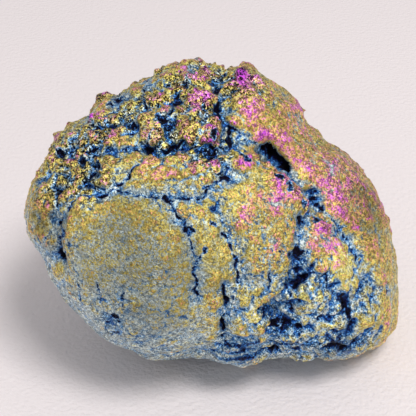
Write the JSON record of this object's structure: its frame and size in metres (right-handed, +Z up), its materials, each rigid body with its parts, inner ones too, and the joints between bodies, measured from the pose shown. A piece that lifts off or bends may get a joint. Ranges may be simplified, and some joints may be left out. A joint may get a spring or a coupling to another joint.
{
  "type": "agate geode",
  "caption": "Whole agate geode nodule with a lobed, lumpy and fissured rind under an iridescent metal film, resting on a small worn flat.",
  "frame": {"origin": "under the middle of the stone's bounding box, on the surface it rests on", "axes": "+X to the right of someone facing the side that the picture shows, +Y away from them, +Z up"},
  "size_m": [0.0912, 0.0791, 0.0738],
  "materials": {
    "coated_rind": "thin iridescent metal film over grainy agate rind, gold and steel blue with magenta on its ridges and navy in its fissures"
  },
  "bodies": {
    "root": {"geode": "coated_rind"}
  },
  "joints": []
}
